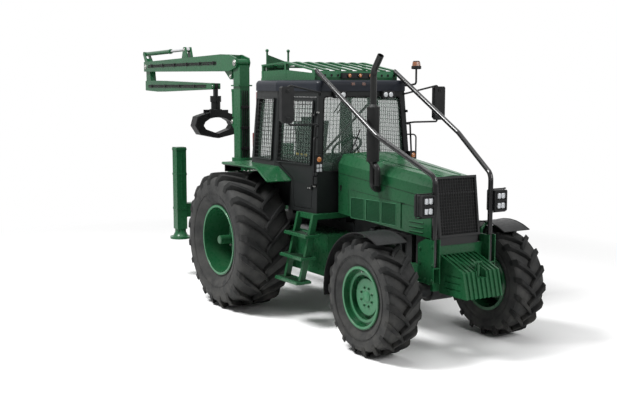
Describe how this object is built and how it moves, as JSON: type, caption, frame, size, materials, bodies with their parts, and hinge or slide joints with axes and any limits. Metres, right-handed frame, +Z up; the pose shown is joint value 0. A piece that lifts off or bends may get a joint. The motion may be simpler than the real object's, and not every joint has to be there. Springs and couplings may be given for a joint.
{
  "type": "forestry tractor with loading crane",
  "caption": "Guarded four-wheel forestry tractor that steers at the front, with a hollow cab and a knuckle-boom loading crane and log grapple folded back behind it.",
  "frame": {"origin": "on the ground under the middle of the machine's length and width", "axes": "+X forward, +Y to the left, +Z up"},
  "size_m": [9.092, 2.69, 3.39],
  "materials": {
    "green_paint": "gloss green enamel",
    "dark_paint": "satin dark grey enamel",
    "black_steel": "satin black enamel",
    "bare_steel": "worn bare steel",
    "rod_chrome": "ground hard chrome",
    "iron": "dark engine paint on castings",
    "rubber_tyre": "used tyre rubber",
    "window": "tinted safety glass",
    "seat_fabric": "dark woven cover",
    "black_plastic": "grained moulded plastic"
  },
  "bodies": {
    "chassis": {"gearbox_and_rear_axle": "iron", "engine_and_radiator": "iron", "front_frame": "green_paint", "front_axle_beam": "iron", "limb_risers": "bare_steel", "ballast_weight": "green_paint", "hood_sides": "green_paint", "grille": "black_steel", "exhaust": "dark_paint", "cab_tub": "dark_paint", "cab_frame": "dark_paint", "cab_glass": "window", "cab_roof": "dark_paint", "rear_fenders": "green_paint", "seat": "seat_fabric", "dash_and_steering_wheel": "black_plastic", "roof_guard": "green_paint", "cab_lamps": "black_plastic", "headlamps": "black_plastic", "mirrors": "black_plastic", "ladders": "green_paint", "fuel_tanks": "green_paint", "crane_base": "green_paint", "stabilizer_frame": "green_paint"},
    "hood_lid": {"hood_lid": "green_paint"},
    "column": {"crane_column": "green_paint"},
    "boom": {"boom": "green_paint"},
    "stick": {"stick": "green_paint"},
    "lift_barrel": {"lift_cylinder_barrel": "green_paint"},
    "lift_rod": {"lift_cylinder_rod": "rod_chrome"},
    "stick_barrel": {"stick_cylinder_barrel": "green_paint"},
    "stick_rod": {"stick_cylinder_rod": "rod_chrome"},
    "hang_link": {"hang_link": "black_steel"},
    "grapple": {"grapple_frame": "black_steel"},
    "jaw_left": {"grapple_jaw_left": "black_steel"},
    "jaw_right": {"grapple_jaw_right": "black_steel"},
    "knuckle_left": {"knuckle_left": "green_paint", "front_mudguard_left": "black_plastic"},
    "front_wheel_left": {"front_rim_left": "green_paint", "front_tyre_left": "rubber_tyre"},
    "rear_wheel_left": {"rear_rim_left": "green_paint", "rear_tyre_left": "rubber_tyre"},
    "door_left": {"door_left": "dark_paint", "door_glass_left": "window"},
    "stabilizer_left": {"stabilizer_leg_left": "green_paint"},
    "knuckle_right": {"knuckle_right": "green_paint", "front_mudguard_right": "black_plastic"},
    "front_wheel_right": {"front_rim_right": "green_paint", "front_tyre_right": "rubber_tyre"},
    "rear_wheel_right": {"rear_rim_right": "green_paint", "rear_tyre_right": "rubber_tyre"},
    "door_right": {"door_right": "dark_paint", "door_glass_right": "window"},
    "stabilizer_right": {"stabilizer_leg_right": "green_paint"}
  },
  "joints": [
    {"name": "steer_left", "type": "hinge", "parent": "chassis", "child": "knuckle_left", "pos_m": [3.781, 0.69, 0.61], "axis": [0, 0, 1], "range_deg": [-25, 25]},
    {"name": "front_roll_left", "type": "hinge", "parent": "knuckle_left", "child": "front_wheel_left", "pos_m": [3.781, 0.837, 0.61], "axis": [0, 1, 0], "continuous": true},
    {"name": "rear_roll_left", "type": "hinge", "parent": "chassis", "child": "rear_wheel_left", "pos_m": [1.021, 1, 0.85], "axis": [0, 1, 0], "continuous": true},
    {"name": "door_left_swing", "type": "hinge", "parent": "chassis", "child": "door_left", "pos_m": [2.3117, 0.6855, 1.79989], "axis": [0.0074, 0.0623, -0.998], "range_deg": [0, 65]},
    {"name": "stabilizer_left_drop", "type": "slide", "parent": "chassis", "child": "stabilizer_left", "axis": [0, 0, -1], "range_m": [0, 0.54]},
    {"name": "steer_right", "type": "hinge", "parent": "chassis", "child": "knuckle_right", "pos_m": [3.781, -0.69, 0.61], "axis": [0, 0, 1], "range_deg": [-25, 25]},
    {"name": "front_roll_right", "type": "hinge", "parent": "knuckle_right", "child": "front_wheel_right", "pos_m": [3.781, -0.837, 0.61], "axis": [0, 1, 0], "continuous": true},
    {"name": "rear_roll_right", "type": "hinge", "parent": "chassis", "child": "rear_wheel_right", "pos_m": [1.021, -1, 0.85], "axis": [0, 1, 0], "continuous": true},
    {"name": "door_right_swing", "type": "hinge", "parent": "chassis", "child": "door_right", "pos_m": [2.3117, -0.6855, 1.79989], "axis": [-0.0074, 0.0623, 0.998], "range_deg": [0, 65]},
    {"name": "stabilizer_right_drop", "type": "slide", "parent": "chassis", "child": "stabilizer_right", "axis": [0, 0, -1], "range_m": [0, 0.54]},
    {"name": "hood_lift", "type": "hinge", "parent": "chassis", "child": "hood_lid", "pos_m": [2.481, 0, 1.93], "axis": [0, -1, 0], "range_deg": [0, 60]},
    {"name": "crane_slew", "type": "hinge", "parent": "chassis", "child": "column", "pos_m": [-0.799, 0, 1.53], "axis": [0, 0, 1], "range_deg": [-120, 120]},
    {"name": "boom_lift", "type": "hinge", "parent": "column", "child": "boom", "pos_m": [-0.799, 0, 3.1], "axis": [0, 1, 0], "range_deg": [-10, 65]},
    {"name": "lift_barrel_tilt", "type": "hinge", "parent": "column", "child": "lift_barrel", "pos_m": [-1.004, 0, 2.24], "axis": [0, 1, 0], "range_deg": [-1.9, 0.33]},
    {"name": "lift_rod_slide", "type": "slide", "parent": "lift_barrel", "child": "lift_rod", "axis": [-0.0376, 0, 0.9993], "range_m": [-0.0502, 0.3235]},
    {"name": "stick_fold", "type": "hinge", "parent": "boom", "child": "stick", "pos_m": [-4.329, 0, 3.1], "axis": [0, 1, 0], "range_deg": [0, 120]},
    {"name": "stick_barrel_tilt", "type": "hinge", "parent": "stick", "child": "stick_barrel", "pos_m": [-4.504, 0, 3.325], "axis": [0, 1, 0], "range_deg": [-128.28, 0.05]},
    {"name": "stick_rod_slide", "type": "slide", "parent": "stick_barrel", "child": "stick_rod", "axis": [0.9999, 0, 0.014], "range_m": [-0.4414, 0.0005]},
    {"name": "link_swing", "type": "hinge", "parent": "stick", "child": "hang_link", "pos_m": [-1.679, 0, 2.76], "axis": [0, -1, 0], "range_deg": [-0.05, 120.05]},
    {"name": "grapple_turn", "type": "hinge", "parent": "hang_link", "child": "grapple", "pos_m": [-1.679, 0, 2.52], "axis": [0, 0, 1], "continuous": true},
    {"name": "jaw_left_open", "type": "hinge", "parent": "grapple", "child": "jaw_left", "pos_m": [-1.679, 0.09, 2.33], "axis": [1, 0, 0], "range_deg": [0, 55]},
    {"name": "jaw_right_open", "type": "hinge", "parent": "grapple", "child": "jaw_right", "pos_m": [-1.679, -0.09, 2.33], "axis": [-1, 0, 0], "range_deg": [0, 55]}
  ],
  "couplings": [
    {"joint": "steer_right", "follows": "steer_left", "ratio": 1},
    {"joint": "lift_barrel_tilt", "follows": "boom_lift", "ratio": -0.0284},
    {"joint": "lift_rod_slide", "follows": "boom_lift", "m_per_rad": 0.2847},
    {"joint": "stick_barrel_tilt", "follows": "stick_fold", "ratio": -1.0685},
    {"joint": "stick_rod_slide", "follows": "stick_fold", "m_per_rad": -0.2105},
    {"joint": "link_swing", "follows": "stick_fold", "ratio": 1},
    {"joint": "jaw_right_open", "follows": "jaw_left_open", "ratio": 1}
  ]
}
